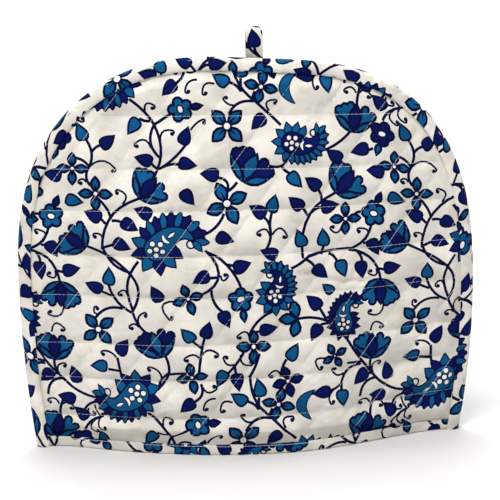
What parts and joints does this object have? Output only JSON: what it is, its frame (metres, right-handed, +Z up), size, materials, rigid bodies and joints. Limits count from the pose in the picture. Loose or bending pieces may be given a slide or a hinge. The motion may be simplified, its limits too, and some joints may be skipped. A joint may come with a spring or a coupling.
{
  "type": "quilted tea cosy",
  "caption": "Arched, quilted cotton cover that stands open over a teapot, with bound edges and a small hanging loop at the top.",
  "frame": {"origin": "middle of the mouth, on the surface that the hem stands on", "axes": "+X to the right as seen from the front, -Y out of the front panel, +Z up"},
  "size_m": [0.33, 0.0886, 0.3015],
  "materials": {
    "quilted_cotton": "plain-woven cotton, printed in navy and teal on cream, quilted over thin wadding",
    "binding_cotton": "the same printed cotton as a folded strip, top-stitched",
    "loop_cotton": "the same printed cotton as a narrow folded strip"
  },
  "bodies": {
    "root": {"front_panel": "quilted_cotton", "back_panel": "quilted_cotton", "arch_binding": "binding_cotton", "front_hem_binding": "binding_cotton", "back_hem_binding": "binding_cotton", "hanging_loop": "loop_cotton"}
  },
  "joints": []
}
